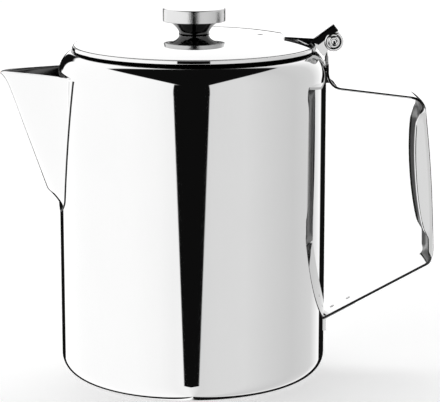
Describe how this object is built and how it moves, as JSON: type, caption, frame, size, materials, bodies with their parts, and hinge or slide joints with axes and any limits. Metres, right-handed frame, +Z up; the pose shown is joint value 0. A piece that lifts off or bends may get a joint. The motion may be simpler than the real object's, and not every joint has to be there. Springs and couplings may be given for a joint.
{
  "type": "teapot",
  "caption": "Stainless steel teapot with a straight round body, V-shaped pouring spout, strap handle and a hinged lid with a flat knob and a thumb piece.",
  "frame": {"origin": "centre of the flat ring that the pot stands on", "axes": "+Z up along the body's axis, +X towards the handle, -X towards the spout, Y along the lid's hinge pin"},
  "size_m": [0.2128, 0.13, 0.1798],
  "materials": {
    "polished_steel": "mirror polished",
    "satin_steel": "satin",
    "turned_steel": "fine turned",
    "weld_steel": "as welded and wire brushed"
  },
  "bodies": {
    "pot": {"body_shell": "polished_steel", "spout": "polished_steel", "handle_strap": "polished_steel", "handle_weld": "weld_steel", "lower_bracket": "polished_steel", "lower_rivets": "satin_steel", "hinge_pin": "satin_steel"},
    "lid": {"lid_shell": "polished_steel", "lid_skirt": "satin_steel", "hinge_leaf": "polished_steel", "knob_stem": "polished_steel", "knob_cap": "turned_steel", "knob_washer": "satin_steel", "knob_screw": "satin_steel"}
  },
  "joints": [
    {"name": "lid_hinge", "type": "hinge", "parent": "pot", "child": "lid", "pos_m": [0.068, 0, 0.1637], "axis": [0, 1, 0], "range_deg": [0, 108]}
  ]
}
